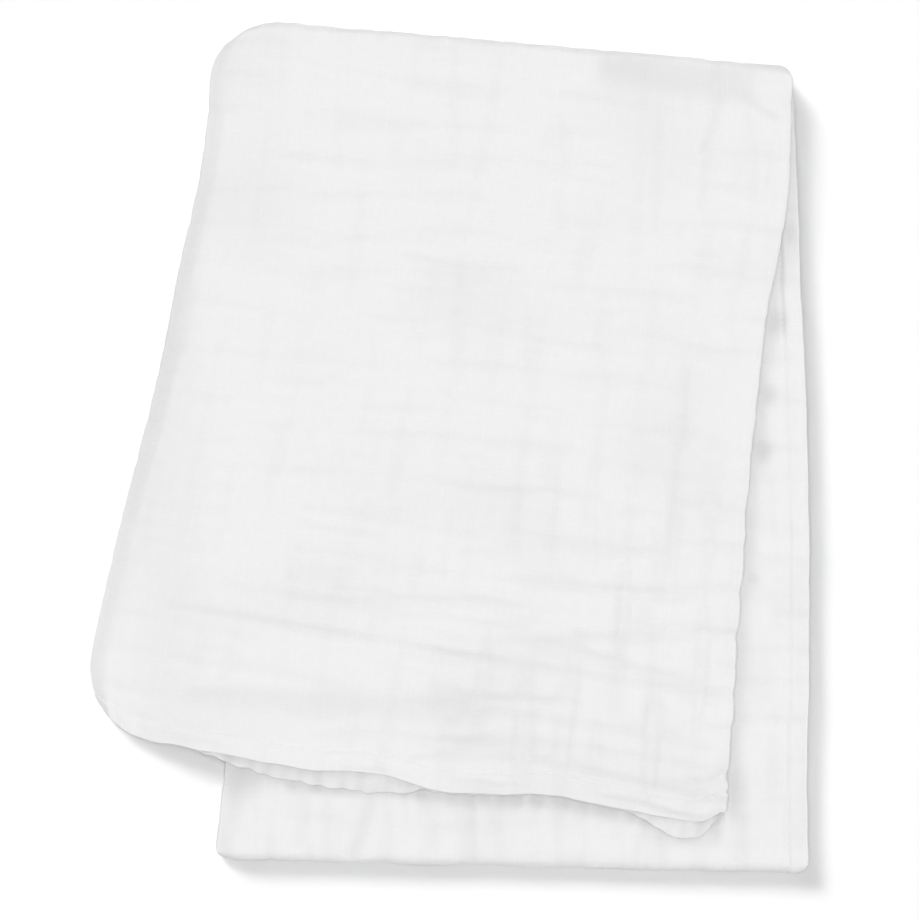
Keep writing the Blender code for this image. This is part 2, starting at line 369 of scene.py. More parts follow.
def round_turn(stretch, height, share):
    """(z, distance from the turn's edge) of points on their way from one third to the next."""
    top = stretch == "top turn"
    radius = TURN_RADIUS + (height if top else -height)
    z = (FRONT_Z if top else MIDDLE_Z) - TURN_RADIUS + radius * np.cos(math.pi * share)
    return z, TURN_REACH - radius * np.sin(math.pi * share)


def folded(ply, ply_share, stretch, share, offset):
    """(x, y, z) in the folded blanket of points on one ply of one stretch of the run."""
    third = {"top turn": "middle", "bottom turn": "back"}.get(stretch, stretch)
    along = {"front": 1 - share, "middle": share, "back": share}.get(stretch, np.zeros_like(share))
    left_x, left_y, right_x, right_y = edges_at(third, along)
    width = np.hypot(right_x - left_x, right_y - left_y)
    across, height = section_point(
        ply, ply_share, width, lambda name: inset_at(stretch, share, name), offset
    )
    height = settled(stretch, share, across, height)
    beyond = TURN_REACH + along * LENGTHS[third]
    if stretch == "front":
        z = FRONT_Z + height
        across, to_hem, out = front_hem(ply, across, width, (1 - along) * LENGTHS["front"])
        beyond = TURN_REACH + LENGTHS["front"] - to_hem + out
    elif stretch == "middle":
        z = MIDDLE_Z - height
    elif stretch == "back":
        z = BACK_Z + height
    else:
        z, beyond = round_turn(stretch, height, share)
    if stretch in ("front", "top turn", "middle"):
        across, beyond = top_corners(across, beyond, width)
    if stretch in ("middle", "bottom turn", "back"):
        across, beyond = bottom_corners(stretch, across, beyond, width)
    across = across + edge_wander(stretch, across / width, beyond)
    x, y = plan_point(third, across, width, beyond)
    if stretch == "top turn":
        front_x, front_y = plan_point("front", across, width, beyond)
        x, y = front_x + (x - front_x) * share, front_y + (y - front_y) * share
    if stretch == "front":
        past_edge = middle_left_edge(y) - x - SAG_START
        z = z - SAG_DEPTH * smoothstep(past_edge / SAG_WIDTH)
    return x, y, z


def located(flat, stretches):
    """Which stretch each flat coordinate falls in, and its share of the way along it."""
    ends = np.cumsum([length for _, length in stretches])
    index = np.clip(np.searchsorted(ends, flat), 0, len(stretches) - 1)
    lengths = np.array([length for _, length in stretches])
    return index, (flat - (ends - lengths)[index]) / lengths[index]


def turned_hem(flat, total):
    """A flat coordinate, which may run past the cloth's edge, as (place inside it, turned hem's offset)."""
    middle = total / 2
    past = middle - np.abs(flat - middle)
    arc = HEM_TURN * math.pi / 2
    angle = np.clip(past / HEM_TURN, -math.pi / 2, math.pi / 2)
    inside = HEM_TURN * (1 - np.cos(angle)) + np.maximum(np.abs(past) - arc, 0)
    offset = HEM_TURN * (np.sin(angle) - 1)
    return np.where(flat < middle, inside, total - inside), offset


def stretch_ends(stretches):
    """Start and end of each stretch in its flat coordinate."""
    ends = np.cumsum([length for _, length in stretches])
    return {name: (end - length, end) for (name, length), end in zip(stretches, ends)}


# ---------------------------------------------------------------- crinkles, creases and gathers
# Rows of tack stitches join the gauze's two layers. Each third row is a strong one.
TACK_PITCH = 0.00965
STRONG_TACKS = 3
# The hem's doubled cloth stands up as far as its seam, which pulls a furrow with puckers.
HEM_RISE = 0.00045
SEAM = 0.0103
SEAM_BAND = 0.0022
SEAM_DIP = 0.0006
SEAM_WIDTH = 0.0013
PUCKER = 0.00022
PUCKER_REACH = 0.0060
PUCKER_WAVE = (0.0048, 0.012)
# The plaid: depths of its dips, pitch of its cross rows, and how far its rows wander.
DIP_ALONG = 0.00070
DIP_ACROSS = 0.00072
CROSS_PITCH = 0.0205
CROSS_WANDER = 0.006
TACK_WANDER = 0.0014
ROW_PULL = 0.35
RIPPLE = 0.00010
DIP_BALANCE = 0.00012
# How rough the plaid is: all over, more at the front's lower right, and less on hidden plies.
ROUGHNESS = 0.78
ROUGHER_LOW_RIGHT = 1.40
SMOOTHER_HIDDEN = 0.7


def hem_profile(u, v):
    """Height of the doubled cloth of the hems, and of the furrow and puckers along their stitches."""
    inwards = np.minimum(np.minimum(u, WIDTH - u), np.minimum(v, LENGTH - v))
    pucker = noise((u + v) / PUCKER_WAVE[0], inwards / PUCKER_WAVE[1], SEED + 6)
    band = HEM_RISE * smoothstep((SEAM - inwards) / SEAM_BAND)
    uneven = 0.7 + 0.4 * noise((u - v) / 0.035, 0.0, SEED + 9) + 0.4 * pucker
    furrow = SEAM_DIP * bump(inwards - SEAM, SEAM_WIDTH) * uneven
    return band - furrow + PUCKER * pucker * bump(inwards - SEAM, PUCKER_REACH)


def crinkle(u, v):
    """Fine crinkles of the gauze in its flat coordinates: a loose plaid of soft dips, with small ripples."""
    tack_wander = TACK_WANDER * noise(u / 0.05, v / 0.09, SEED + 1)
    cross_wander = CROSS_WANDER * noise(u / 0.08, v / 0.05, SEED + 7)
    tack_rows = np.cos(2 * math.pi * (u + tack_wander) / (2 * TACK_PITCH))
    cross_rows = np.cos(2 * math.pi * (v + cross_wander) / CROSS_PITCH)
    along = np.clip(noise(u / 0.0085, v / 0.060, SEED + 2) + ROW_PULL * tack_rows, 0, 1)
    across = np.clip(noise(u / 0.050, v / 0.0075, SEED + 3) + ROW_PULL * cross_rows, 0, 1)
    ripple = noise(u / 0.016, v / 0.0052, SEED + 4) + noise(u / 0.0050, v / 0.018, SEED + 5)
    low_right = smoothstep((0.20 - v) / 0.16) * smoothstep((u - 0.38) / 0.12)
    rough = ROUGHNESS + ROUGHER_LOW_RIGHT * low_right + 0.20 * noise(u / 0.05, v / 0.05, SEED + 8)
    under_top_ply = smoothstep((u - stretch_ends(SECTION)["b1"][0]) / 0.010)
    hidden = under_top_ply * smoothstep((v - 0.020) / 0.010)
    size = rough * (1 - SMOOTHER_HIDDEN * hidden)
    return (-DIP_ALONG * along - DIP_ACROSS * across + RIPPLE * ripple) * size + DIP_BALANCE


# Creases in the stations' measure, each from (x0, y0) to (x1, y1), with its bow, width and depth.
FRONT_CREASES = (
    (-0.1450, -0.0798, 0.0150, -0.1072, 0.0005, 0.0020, -0.00080),
    (0.0099, -0.1057, 0.1471, -0.1290, 0.0008, 0.0023, -0.00065),
    (-0.0053, -0.1295, 0.1267, -0.1519, 0.0010, 0.0030, -0.00080),
    (0.0251, -0.0980, 0.1115, -0.0980, 0.0006, 0.0026, -0.00050),
    (-0.0053, -0.0859, 0.0404, -0.0914, 0.0000, 0.0022, -0.00045),
    (0.1090, -0.0899, 0.1481, -0.0940, 0.0000, 0.0022, -0.00050),
    (0.0785, -0.0549, 0.1049, -0.0528, 0.0000, 0.0024, -0.00055),
    (0.0404, -0.0706, 0.1090, -0.0721, 0.0000, 0.0020, -0.00040),
    (0.0683, -0.1641, 0.1039, -0.1717, 0.0005, 0.0018, -0.00100),
    (0.1013, -0.1712, 0.1420, -0.1798, 0.0000, 0.0017, -0.00110),
    (-0.0053, -0.1585, 0.0709, -0.1641, 0.0036, 0.0020, -0.00070),
    (-0.0053, -0.1488, 0.0556, -0.1524, 0.0000, 0.0026, -0.00055),
    (0.0353, -0.1473, 0.1379, -0.1646, 0.0010, 0.0022, -0.00050),
    (0.0861, -0.0696, 0.0831, -0.1392, 0.0000, 0.0055, -0.00070),
    (0.1049, -0.0417, 0.0998, -0.1392, 0.0000, 0.0032, -0.00055),
    (0.1151, 0.0041, 0.1125, -0.0391, 0.0000, 0.0024, -0.00065),
    (0.1125, -0.0366, 0.1059, -0.0808, 0.0000, 0.0024, -0.00055),
    (0.0358, 0.0066, 0.0328, -0.0559, 0.0000, 0.0026, -0.00045),
    (0.0749, -0.0020, 0.0729, -0.0650, 0.0000, 0.0020, -0.00040),
    (0.0536, -0.0163, 0.0511, -0.0528, 0.0000, 0.0020, -0.00035),
    (-0.0790, -0.0391, -0.0348, -0.0447, 0.0000, 0.0020, -0.00040),
    (-0.0841, -0.0660, -0.0551, -0.0671, 0.0000, 0.0016, -0.00035),
    (-0.0612, -0.0711, -0.0318, -0.0732, 0.0000, 0.0016, -0.00040),
    (-0.0815, -0.0762, -0.0500, -0.0787, 0.0000, 0.0016, -0.00035),
    (-0.1384, -0.1265, -0.0612, -0.1295, 0.0000, 0.0060, -0.00090),
    (-0.0663, -0.1280, 0.0160, -0.1372, 0.0000, 0.0070, -0.00090),
    (-0.0216, -0.1585, 0.0160, -0.1488, -0.0006, 0.0028, -0.00090),
    (-0.1760, -0.1179, -0.1435, -0.1240, 0.0000, 0.0018, -0.00040),
    (-0.1791, -0.1290, -0.1516, -0.1367, 0.0000, 0.0018, -0.00035),
    (-0.0231, 0.0970, 0.0160, 0.0899, 0.0000, 0.0018, -0.00050),
    (0.0140, 0.0904, 0.0353, 0.0904, 0.0000, 0.0018, -0.00045),
    (-0.1232, 0.1311, -0.0825, 0.1311, 0.0000, 0.0020, -0.00030),
    (-0.0053, 0.1732, 0.0236, 0.1702, 0.0000, 0.0020, -0.00035),
    (0.1374, 0.1819, 0.1288, 0.1504, 0.0004, 0.0018, -0.00090),
    (0.1293, 0.1534, 0.1273, 0.1168, 0.0000, 0.0020, -0.00060),
    (0.1049, 0.1707, 0.1039, 0.1046, 0.0000, 0.0026, -0.00045),
    (0.1196, 0.0406, 0.1176, -0.0020, 0.0000, 0.0030, -0.00060),
    (0.0384, 0.0660, 0.0389, -0.0020, 0.0000, 0.0030, -0.00035),
    (0.0053, 0.0914, -0.0003, -0.0020, 0.0000, 0.0032, -0.00030),
    (0.1460, 0.1793, 0.1659, 0.1656, 0.0000, 0.0022, -0.00100),
    (0.1623, 0.1554, 0.1608, 0.1300, 0.0000, 0.0017, -0.00060),
    (0.0780, 0.1935, 0.1490, 0.1820, 0.0000, 0.0085, -0.00220),
    (0.1217, 0.0980, 0.1379, 0.0965, 0.0000, 0.0016, -0.00040),
    (0.0394, 0.0488, 0.0566, 0.0472, 0.0000, 0.0016, -0.00030),
    (0.0648, 0.1438, 0.0820, 0.1422, 0.0000, 0.0016, -0.00035),
    (-0.1527, -0.0975, -0.1069, -0.1052, 0.0000, 0.0030, -0.00030),
    (0.0556, 0.1666, 0.0546, 0.1107, 0.0000, 0.0024, -0.00030),
    (0.0759, 0.0752, 0.0739, 0.0142, 0.0000, 0.0026, -0.00030),
)
MIDDLE_CREASES = (
    (0.1481, 0.0000, 0.1791, -0.0015, 0.0000, 0.0022, -0.00060),
    (0.1633, -0.0833, 0.1836, -0.0853, 0.0000, 0.0024, -0.00060),
    (0.1613, -0.0467, 0.1806, -0.0447, 0.0000, 0.0020, -0.00040),
    (-0.0399, -0.1788, -0.0500, -0.2093, 0.0000, 0.0032, -0.00110),
    (-0.0765, -0.1737, -0.0785, -0.2042, 0.0000, 0.0030, -0.00070),
    (0.0556, -0.1864, 0.0536, -0.2134, 0.0000, 0.0030, -0.00060),
    (0.0099, -0.1788, 0.0119, -0.2123, 0.0000, 0.0034, -0.00070),
    (0.0963, -0.1966, 0.0942, -0.2134, 0.0000, 0.0026, -0.00060),
    (0.1481, -0.1864, 0.1450, -0.2134, 0.0000, 0.0040, -0.00070),
)
# Round pockets in the middle third, beside and below the front third: x, y, radius and depth.
POCKETS = (
    (0.1704, 0.1102, 0.0045, -0.0014),
    (0.1653, 0.0640, 0.0050, -0.0032),
    (0.1613, 0.0269, 0.0040, -0.0016),
    (0.1572, -0.0020, 0.0050, -0.0022),
    (-0.1095, -0.1676, 0.0110, -0.0034),
    (-0.0800, -0.1717, 0.0035, -0.0014),
    (-0.0678, -0.1722, 0.0035, -0.0014),
    (-0.0577, -0.1732, 0.0032, -0.0013),
    (0.1532, -0.0671, 0.0035, -0.0013),
    (0.1349, -0.1971, 0.0040, -0.0012),
)


def crease(x, y, x0, y0, x1, y1, bow, width, depth):
    """Height of one crease: a soft trough or ridge along a bowed line, dying away at both ends."""
    length = math.hypot(x1 - x0, y1 - y0)
    along = ((x - x0) * (x1 - x0) + (y - y0) * (y1 - y0)) / length**2
    aside = ((x1 - x0) * (y - y0) - (y1 - y0) * (x - x0)) / length
    arch = bow * 4 * along * (1 - along)
    fade = smoothstep((along + 0.12) / 0.24) * smoothstep((1.12 - along) / 0.24)
    return depth * bump(aside - arch, width) * fade


# The most that creases add up to, in the front third and in the middle one.
DEEPEST = 0.0016
MIDDLE_DEEPEST = 0.0030
# Slow unevenness of the front third.
FRONT_WAVES = 0.0006
# The hollow in the middle third along the front third's edge, and below its hem.
EDGE_HOLLOW = 0.0011
EDGE_HOLLOW_WIDTH = 0.0050
HEM_HOLLOW = 0.0022
HEM_HOLLOW_WIDTH = 0.0060
# Gathers of the middle third below the front hem, and its unevenness beside the front.
GATHERS = 0.0006
STRIP_WAVES = 0.0004
# How far hidden plies sink: b1 under the front's top ply, more by the hem, and b2 in both thirds.
B1_SINK = 0.0016
B1_SINK_BY_HEM = 0.0008
B2_SINK = 0.0009
# Painted shade, darkened into the cloth's colour: in creases and pockets (a gain and the most it reaches),
# in dips, along the front's left rim, and under the front hem (all over and in its folds).
FRONT_SHADE = (1.5, 1.6)
MIDDLE_SHADE = (1.6, 3)
DIP_SHADE = 0.50
RIM_SHADE = 0.55
RIM_WIDTH = 0.0085
UNDER_HEM_SHADE = (0.6, 1.6)
FLOOR_GAP = 0.0002


def front_relief(x, y):
    """Height of the front third's creases, which never add up to more than the room over the next ply."""
    height = sum(crease(x, y, *row) for row in FRONT_CREASES)
    waves = FRONT_WAVES * noise(x / 0.07, y / 0.05, SEED + 11)
    return DEEPEST * np.tanh(height / DEEPEST) + waves


def beside_front(x, y):
    """Distance of points of the plan from the front third's right edge and from its hem, outwards."""
    rows = [(-row[4], row[3]) for row in STATIONS["front"]]
    from_edge = x - through_rows(rows, -y, 1)
    _, left_x, left_y, right_x, right_y = STATIONS["front"][-1]
    share = (x - left_x) / (right_x - left_x)
    hem_y = left_y + (right_y - left_y) * share - hem_line(np.clip(share, 0, 1), "bow")
    return from_edge, hem_y - y


def middle_relief(x, y):
    """Height of the middle third's creases, pockets and gathers, and of the hollow by the front's edges."""
    height = sum(crease(x, y, *row) for row in MIDDLE_CREASES)
    for pocket_x, pocket_y, radius, depth in POCKETS:
        height = height + depth * bump(np.hypot(x - pocket_x, y - pocket_y), radius)
    from_edge, from_hem = beside_front(x, y)
    low = smoothstep((-0.150 - y) / 0.030)
    by_edge = bump(np.maximum(from_edge, 0), EDGE_HOLLOW_WIDTH)
    height = height - EDGE_HOLLOW * by_edge * (1 - low)
    below = smoothstep(1 - from_edge / 0.012)
    by_hem = bump(np.maximum(from_hem, 0), HEM_HOLLOW_WIDTH)
    folds = 1 + 0.7 * noise(x / 0.0060, y / 0.060, SEED + 15)
    height = height - HEM_HOLLOW * by_hem * low * below * folds
    gathers = noise(x / 0.0085, y / 0.060, SEED + 12) + 0.5 * noise(x / 0.0050, y / 0.03, SEED + 13)
    strip = noise(x / 0.02, y / 0.028, SEED + 14)
    height = height + GATHERS * gathers * low + STRIP_WAVES * strip * (1 - low)
    return MIDDLE_DEEPEST * np.tanh(height / MIDDLE_DEEPEST)


def middle_weight(stretches, shares):
    """How much of the middle third's relief a point takes: none in the front, and all past the top turn."""
    turn = [name for name, _ in RUN].index("top turn")
    return np.where(stretches == turn, smoothstep(shares), stretches > turn)


def sunk(u, v):
    """How far the hidden plies sink, away from dips: b1 and b2 in the front third, and b2 in the middle."""
    across, (start, end) = stretch_ends(SECTION), stretch_ends(RUN)["middle"]
    b1_start, b1_end = across["b1"]
    b2_start = across["b2"][0]
    in_front = smoothstep((start - 0.015 - v) / 0.015)
    b1 = smoothstep((u - b1_start) / 0.003) * smoothstep((b1_end - u) / 0.015) * in_front
    b1_by_hem = smoothstep((v - 0.012) / 0.005) * smoothstep((0.060 - v) / 0.020)
    b2 = smoothstep((u - b2_start) / 0.015) * in_front
    in_middle = smoothstep((v - start) / 0.010) * smoothstep((end - v) / 0.010)
    right = smoothstep((u - WIDTH + 0.060) / 0.015) * in_middle
    bottom = smoothstep((u - b2_start - 0.004) / 0.012)
    bottom = bottom * smoothstep((v - end + 0.085) / 0.015) * smoothstep((end - v) / 0.010)
    under_front = (B1_SINK + B1_SINK_BY_HEM * b1_by_hem) * b1 - B2_SINK * b2
    return under_front + B2_SINK * np.maximum(right, bottom)


def shaded_edges(u, v):
    """Painted shade along the front's left rim, and on the ply that shows under its hem."""
    across = stretch_ends(SECTION)
    from_rim = np.abs(u - across["outer fold"][1])
    in_front = v < stretch_ends(RUN)["top turn"][1]
    rim = RIM_SHADE * (1 - smoothstep(from_rim / RIM_WIDTH)) * in_front
    under = (u > across["right fold"][1]) & (u < across["inner fold"][0]) & (v < 0.022)
    folds = np.clip(noise(u / 0.0060, v / 0.030, SEED + 16) + 0.25, 0, 1)
    return rim + under * (UNDER_HEM_SHADE[0] + UNDER_HEM_SHADE[1] * folds)


def crease_shade(height, shade):
    """How much painted shade creases of this height get."""
    gain, most = shade
    return np.clip(-gain * height / DEEPEST, 0, most)


def blanket_points(u, v, lift=0.0):
    """Places in the folded blanket of points in the cloth's flat coordinates, and the painted shade there.
    """
    inner_u, hem_u = turned_hem(u, WIDTH)
    inner_v, hem_v = turned_hem(v, LENGTH)
    surface = crinkle(inner_u, inner_v) + hem_profile(inner_u, inner_v)
    offset = hem_u + hem_v + surface + LIFT + lift + sunk(inner_u, inner_v)
    plies, ply_shares = located(inner_u, SECTION)
    stretches, shares = located(inner_v, RUN)
    points = np.zeros((len(u), 3))
    for ply, (ply_name, _) in enumerate(SECTION):
        for stretch, (stretch_name, _) in enumerate(RUN):
            here = (plies == ply) & (stretches == stretch)
            if here.any():
                place = folded(ply_name, ply_shares[here], stretch_name, shares[here], offset[here])
                points[here] = np.stack(place, axis=1)
    x, y, z = points.T
    front = front_relief(x, y) * np.clip(z / FRONT_TOP, 0, 1) ** 2
    in_middle = np.clip(z / MIDDLE_TOP, 0, 1) * middle_weight(stretches, shares)
    middle = middle_relief(x, y) * in_middle
    points[:, 2] = np.maximum(z + front + middle, FLOOR_GAP)
    # Painted shade: creases, pockets, the hollows beside and below the front third, the crinkles' dips, the
    # front's left rim and the ply under its hem are darkened in colour.
    dips = np.clip(-crinkle(inner_u, inner_v) / DIP_ACROSS, 0, 1)
    painted_shade = crease_shade(front, FRONT_SHADE) + crease_shade(middle, MIDDLE_SHADE)
    painted_shade = painted_shade + DIP_SHADE * dips + shaded_edges(inner_u, inner_v)
    points[:, :2] -= OUTLINE_MIDDLE
    return points, painted_shade


# ---------------------------------------------------------------- the sheet's mesh
# A coarse cell's side, cuts of each side where the cloth shows, and cells round each fold and turn.
COARSE = 0.0102
FINE_CUTS = 5
FOLD_CELLS = {"outer fold": 1, "right fold": 1, "inner fold": 1, "top turn": 3, "bottom turn": 3}
HEM_ROUND = 0.0010
# How far the parts that show run: round the right fold, up the ply under the front hem, in from the side
# hem, up from the bottom fold, and along b2's hem beside the front.
ROUND_RIGHT_FOLD = 0.008
UNDER_HEM_STRIP = 0.020
SIDE_STRIP = 0.052
LOW_STRIP = 0.070
B2_STRIP = (0.040, 0.260)


def flat_lines(stretches):
    """Grid lines in one flat coordinate, with the turned hems past both ends."""
    total = sum(length for _, length in stretches)
    lines, start = [-HEM, -HEM_ROUND, HEM_ROUND, SEAM - SEAM_BAND, SEAM + SEAM_BAND], 0.0
    for name, length in stretches:
        low, high = max(start, SEAM + SEAM_BAND), min(start + length, total - HEM)
        cells = FOLD_CELLS.get(name, max(1, round((high - low) / COARSE)))
        lines += [low + (high - low) * (step + 1) / cells for step in range(cells)]
        start += length
    return np.array(lines + [total - HEM_ROUND, total + HEM_ROUND, total + HEM])


def seen(u, v):
    """Whether a part of the flat cloth shows from above once folded, so that it is modelled finely."""
    across, run = stretch_ends(SECTION), stretch_ends(RUN)
    top_start, top_end = run["top turn"]
    middle_start, middle_end = run["middle"]
    bottom_end = run["bottom turn"][1]
    rim_start, rim_end = across["outer fold"]
    front_top = v < top_end and rim_start < u < across["right fold"][1] + ROUND_RIGHT_FOLD
    under_hem = v < UNDER_HEM_STRIP and across["b1"][0] < u < across["b1"][1]
    side_strip = u < SIDE_STRIP and top_start < v < bottom_end
    low_strip = u < rim_end and middle_end - LOW_STRIP < v < bottom_end
    b2_width, b2_length = B2_STRIP
    b2_strip = u > WIDTH - b2_width and middle_start < v < middle_start + b2_length
    return front_top or under_hem or side_strip or low_strip or b2_strip


def make_sheet():
    """The flat cloth as a grid, fine where it shows, with each point carried to its place in the fold."""
    u_lines, v_lines = flat_lines(SECTION), flat_lines(RUN)
    columns, rows = len(u_lines) - 1, len(v_lines) - 1
    cloth = bmesh.new()
    bmesh.ops.create_grid(cloth, x_segments=columns, y_segments=rows, size=0.5)
    for vertex in cloth.verts:
        vertex.co = ((vertex.co.x + 0.5) * columns, (vertex.co.y + 0.5) * rows, 0)
    fine = {}
    for face in cloth.faces:
        middle = face.calc_center_median()
        u = float(np.interp(middle.x, np.arange(columns + 1), u_lines))
        v = float(np.interp(middle.y, np.arange(rows + 1), v_lines))
        if seen(u, v):
            fine.update((edge, True) for edge in face.edges)
    bmesh.ops.subdivide_edges(cloth, edges=list(fine), cuts=FINE_CUTS, use_grid_fill=True)
    bmesh.ops.triangulate(cloth, faces=[face for face in cloth.faces if len(face.verts) > 4])
    index = np.array([vertex.co[:] for vertex in cloth.verts])
    u = np.interp(index[:, 0], np.arange(columns + 1), u_lines)
    v = np.interp(index[:, 1], np.arange(rows + 1), v_lines)
    points, painted_shade = blanket_points(u, v)
    layer = cloth.loops.layers.uv.new("flat_cloth")
    for number, (vertex, point) in enumerate(zip(cloth.verts, points)):
        vertex.co = point
        for loop in vertex.link_loops:
            loop[layer].uv = (u[number], v[number])
    mesh = bpy.data.meshes.new("blanket_cloth")
    cloth.to_mesh(mesh)
    cloth.free()
    mesh.shade_smooth()
    # The painted shade goes on the points as an attribute, for the gauze's colour.
    mesh.attributes.new("painted_shade", "FLOAT", "POINT").data.foreach_set("value", painted_shade)
    return mesh


# ---------------------------------------------------------------- materials
class Value:
    """A shader socket that takes part in Python arithmetic. Each operation adds its Math node."""

    def __init__(self, tree, socket):
        self.tree, self.socket = tree, socket

    def math(self, operation, *values):
        made = self.tree.nodes.new("ShaderNodeMath")
        made.operation = operation
        for socket, value in zip(made.inputs, (self, *values)):
            plug(self.tree, socket, value)
        return Value(self.tree, made.outputs[0])

    def __add__(self, other):
        return self.math("ADD", other)

    def __sub__(self, other):
        return self.math("SUBTRACT", other)

    def __mul__(self, other):
        return self.math("MULTIPLY", other)

    def __truediv__(self, other):
        return self.math("DIVIDE", other)

    def __pow__(self, other):
        return self.math("POWER", other)

    def __radd__(self, other):
        return self + other

    def __rmul__(self, other):
        return self * other

    def __rsub__(self, other):
        return self * -1 + other

    def sin(self):
        return self.math("SINE")

    def abs(self):
        return self.math("ABSOLUTE")

    def fraction(self):
        return self.math("FRACT")


def plug(tree, socket, value):
    """Links a Value to a socket, or sets a plain number or colour on it."""
    if isinstance(value, Value):
        tree.links.new(value.socket, socket)
    else:
        socket.default_value = value


def add_node(tree, kind, settings=None, **inputs):
    """Adds a node with its settings, then its inputs by name (with underscores for spaces)."""
    made = tree.nodes.new(kind)
    for name, value in (settings or {}).items():
        setattr(made, name, value)
    for name, value in inputs.items():
        plug(tree, made.inputs[name.replace("_", " ")], value)
    return made


def new_material(name):
    """An empty node material, and its tree."""
    material = bpy.data.materials.new(name)
    material.use_nodes = True
    material.node_tree.nodes.clear()
    return material, material.node_tree


def mixed_colour(tree, factor, first, second):
    """A colour between two, each of them a plain colour or a Value."""
    made = add_node(tree, "ShaderNodeMix", {"data_type": "RGBA"}, Factor=factor)
    plug(tree, made.inputs[6], first)
    plug(tree, made.inputs[7], second)
    return Value(tree, made.outputs[2])


GAUZE_THIN = (0.77, 0.768, 0.771, 1)
GAUZE_CLOSE = (0.83, 0.828, 0.829, 1)
# Painted shade: the dark colour that the gauze is drawn towards in creases, dips, pockets, along the rim and
# under the hem, and how strongly.
GAUZE_PAINTED_SHADE = (0.35, 0.35, 0.362, 1)
PAINTED_SHADE_STRENGTH = 0.12
TACK_DASH = 0.0052


def gauze_material():
    """White double gauze: an open weave with slubs, rows of tack stitches that join its two layers, and
    painted shade from the cloth's per-point attribute.
    """
    material, tree = new_material("white_double_gauze")
    coordinates = add_node(tree, "ShaderNodeUVMap", {"uv_map": "flat_cloth"})
    parts = add_node(tree, "ShaderNodeSeparateXYZ", Vector=Value(tree, coordinates.outputs["UV"]))
    u, v = Value(tree, parts.outputs["X"]), Value(tree, parts.outputs["Y"])

    def noise_of(u_scale, v_scale):
        vector = add_node(tree, "ShaderNodeCombineXYZ", X=u * u_scale, Y=v * v_scale)
        made = add_node(
            tree,
            "ShaderNodeTexNoise",
            {"noise_dimensions": "2D"},
            Vector=Value(tree, vector.outputs[0]),
            Scale=1.0,
            Detail=2.0,
        )
        return Value(tree, made.outputs["Fac"])

    warp_slubs = noise_of(1400, 90)
    weft_slubs = noise_of(110, 1300)
    grain = noise_of(700, 700)
    tack_row = (u / TACK_PITCH).fraction() - 0.5
    strong_row = (u / (STRONG_TACKS * TACK_PITCH)).fraction() - 0.5
    tack_line = (1 - tack_row.abs() * 2) ** 22 * 0.4 + (1 - strong_row.abs() * 2) ** 60 * 0.9
    dashes = (v * (2 * math.pi / TACK_DASH) + noise_of(60, 60) * 9).sin() * 0.5 + 0.5
    faint = noise_of(30, 22)
    tack = tack_line * dashes * faint
    height = warp_slubs * 0.5 + weft_slubs * 0.6 + grain * 0.35 - tack * 1.1
    relief = add_node(tree, "ShaderNodeBump", Strength=0.32, Distance=0.00045, Height=height)
    # Painted shade: the per-point attribute darkens the base colour in creases, dips and pockets, beside and
    # under the front third's edges, and along its left rim.
    painted_shade = add_node(tree, "ShaderNodeAttribute", {"attribute_name": "painted_shade"})
    painted_shade_level = Value(tree, painted_shade.outputs["Fac"])
    shade = 0.5 * warp_slubs + 0.5 * weft_slubs + tack * 0.8
    colour = mixed_colour(tree, shade, GAUZE_THIN, GAUZE_CLOSE)
    surface = add_node(
        tree,
        "ShaderNodeBsdfPrincipled",
        Base_Color=mixed_colour(tree, painted_shade_level * PAINTED_SHADE_STRENGTH, colour, GAUZE_PAINTED_SHADE),
        Roughness=0.92,
        Specular_IOR_Level=0.25,
        Sheen_Weight=0.45,
        Sheen_Roughness=0.5,
        Normal=Value(tree, relief.outputs[0]),
    )
    add_node(tree, "ShaderNodeOutputMaterial", Surface=Value(tree, surface.outputs[0]))
    return material


def thread_material():
    """White cotton thread with its twist."""
    material, tree = new_material("white_thread")
    coordinates = add_node(tree, "ShaderNodeTexCoord")
    twist = add_node(
        tree,
        "ShaderNodeTexNoise",
        Vector=Value(tree, coordinates.outputs["Object"]),
        Scale=2600.0,
        Detail=1.0,
    )
    fibres = Value(tree, twist.outputs["Fac"])
    relief = add_node(tree, "ShaderNodeBump", Strength=0.4, Distance=0.00008, Height=fibres)
    surface = add_node(
        tree,
        "ShaderNodeBsdfPrincipled",
        Base_Color=(0.84, 0.838, 0.835, 1),
        Roughness=0.65 + fibres * 0.2,
        Specular_IOR_Level=0.3,
        Normal=Value(tree, relief.outputs[0]),
    )
    add_node(tree, "ShaderNodeOutputMaterial", Surface=Value(tree, surface.outputs[0]))
    return material


# ---------------------------------------------------------------- hem stitches
STITCH_SPACING = 0.0030
STITCH_LENGTH = 0.0021
THREAD = 0.00034
STITCH_LIFT = 0.00025
SEAM_STEP = 0.0010


def seam_lines():
    """The seams that show, as a mesh of lines: across the front's hem, and down the middle's side hem."""
    across, run = stretch_ends(SECTION), stretch_ends(RUN)
    front_u = np.arange(across["outer fold"][0], across["right fold"][1], SEAM_STEP)
    side_v = np.arange(run["middle"][0], run["bottom turn"][1], SEAM_STEP)
    seams = bpy.data.meshes.new("seam_lines")
    places, edges = [], []
    for u, v in ((front_u, np.full_like(front_u, SEAM)), (np.full_like(side_v, SEAM), side_v)):
        start = len(places)
        places += blanket_points(u, v, STITCH_LIFT)[0].tolist()
        edges += [(index, index + 1) for index in range(start, len(places) - 1)]
    seams.from_pydata(places, edges, [])
    return seams


